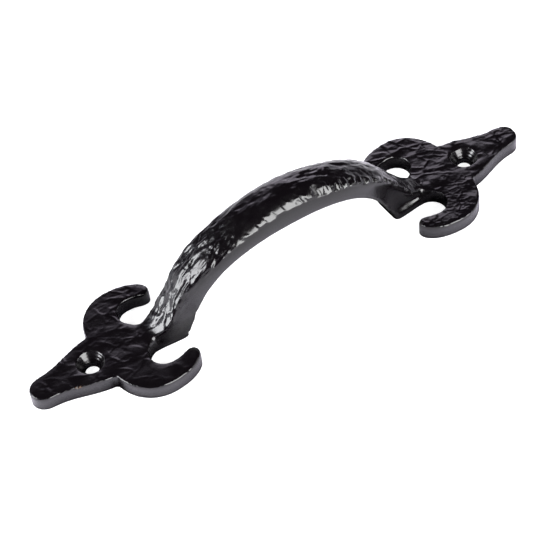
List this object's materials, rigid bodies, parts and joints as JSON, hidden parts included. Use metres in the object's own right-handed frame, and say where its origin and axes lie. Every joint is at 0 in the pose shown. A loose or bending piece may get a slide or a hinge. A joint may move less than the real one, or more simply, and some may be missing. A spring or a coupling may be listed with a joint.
{
  "type": "fleur-de-lis cabinet handle",
  "caption": "Arched cast-iron pull handle with a hammered black face and a fleur-de-lis plate, countersunk for a screw, at each end.",
  "frame": {"origin": "on the plane of the plates' backs, under the middle of the grip", "axes": "+X along the handle from one pointed tip to the other, +Y across it, +Z out from the door"},
  "size_m": [0.152, 0.0362, 0.0297],
  "materials": {
    "black_coated_iron": "semi-gloss black coating over hammered cast iron"
  },
  "bodies": {
    "root": {"handle": "black_coated_iron"}
  },
  "joints": []
}
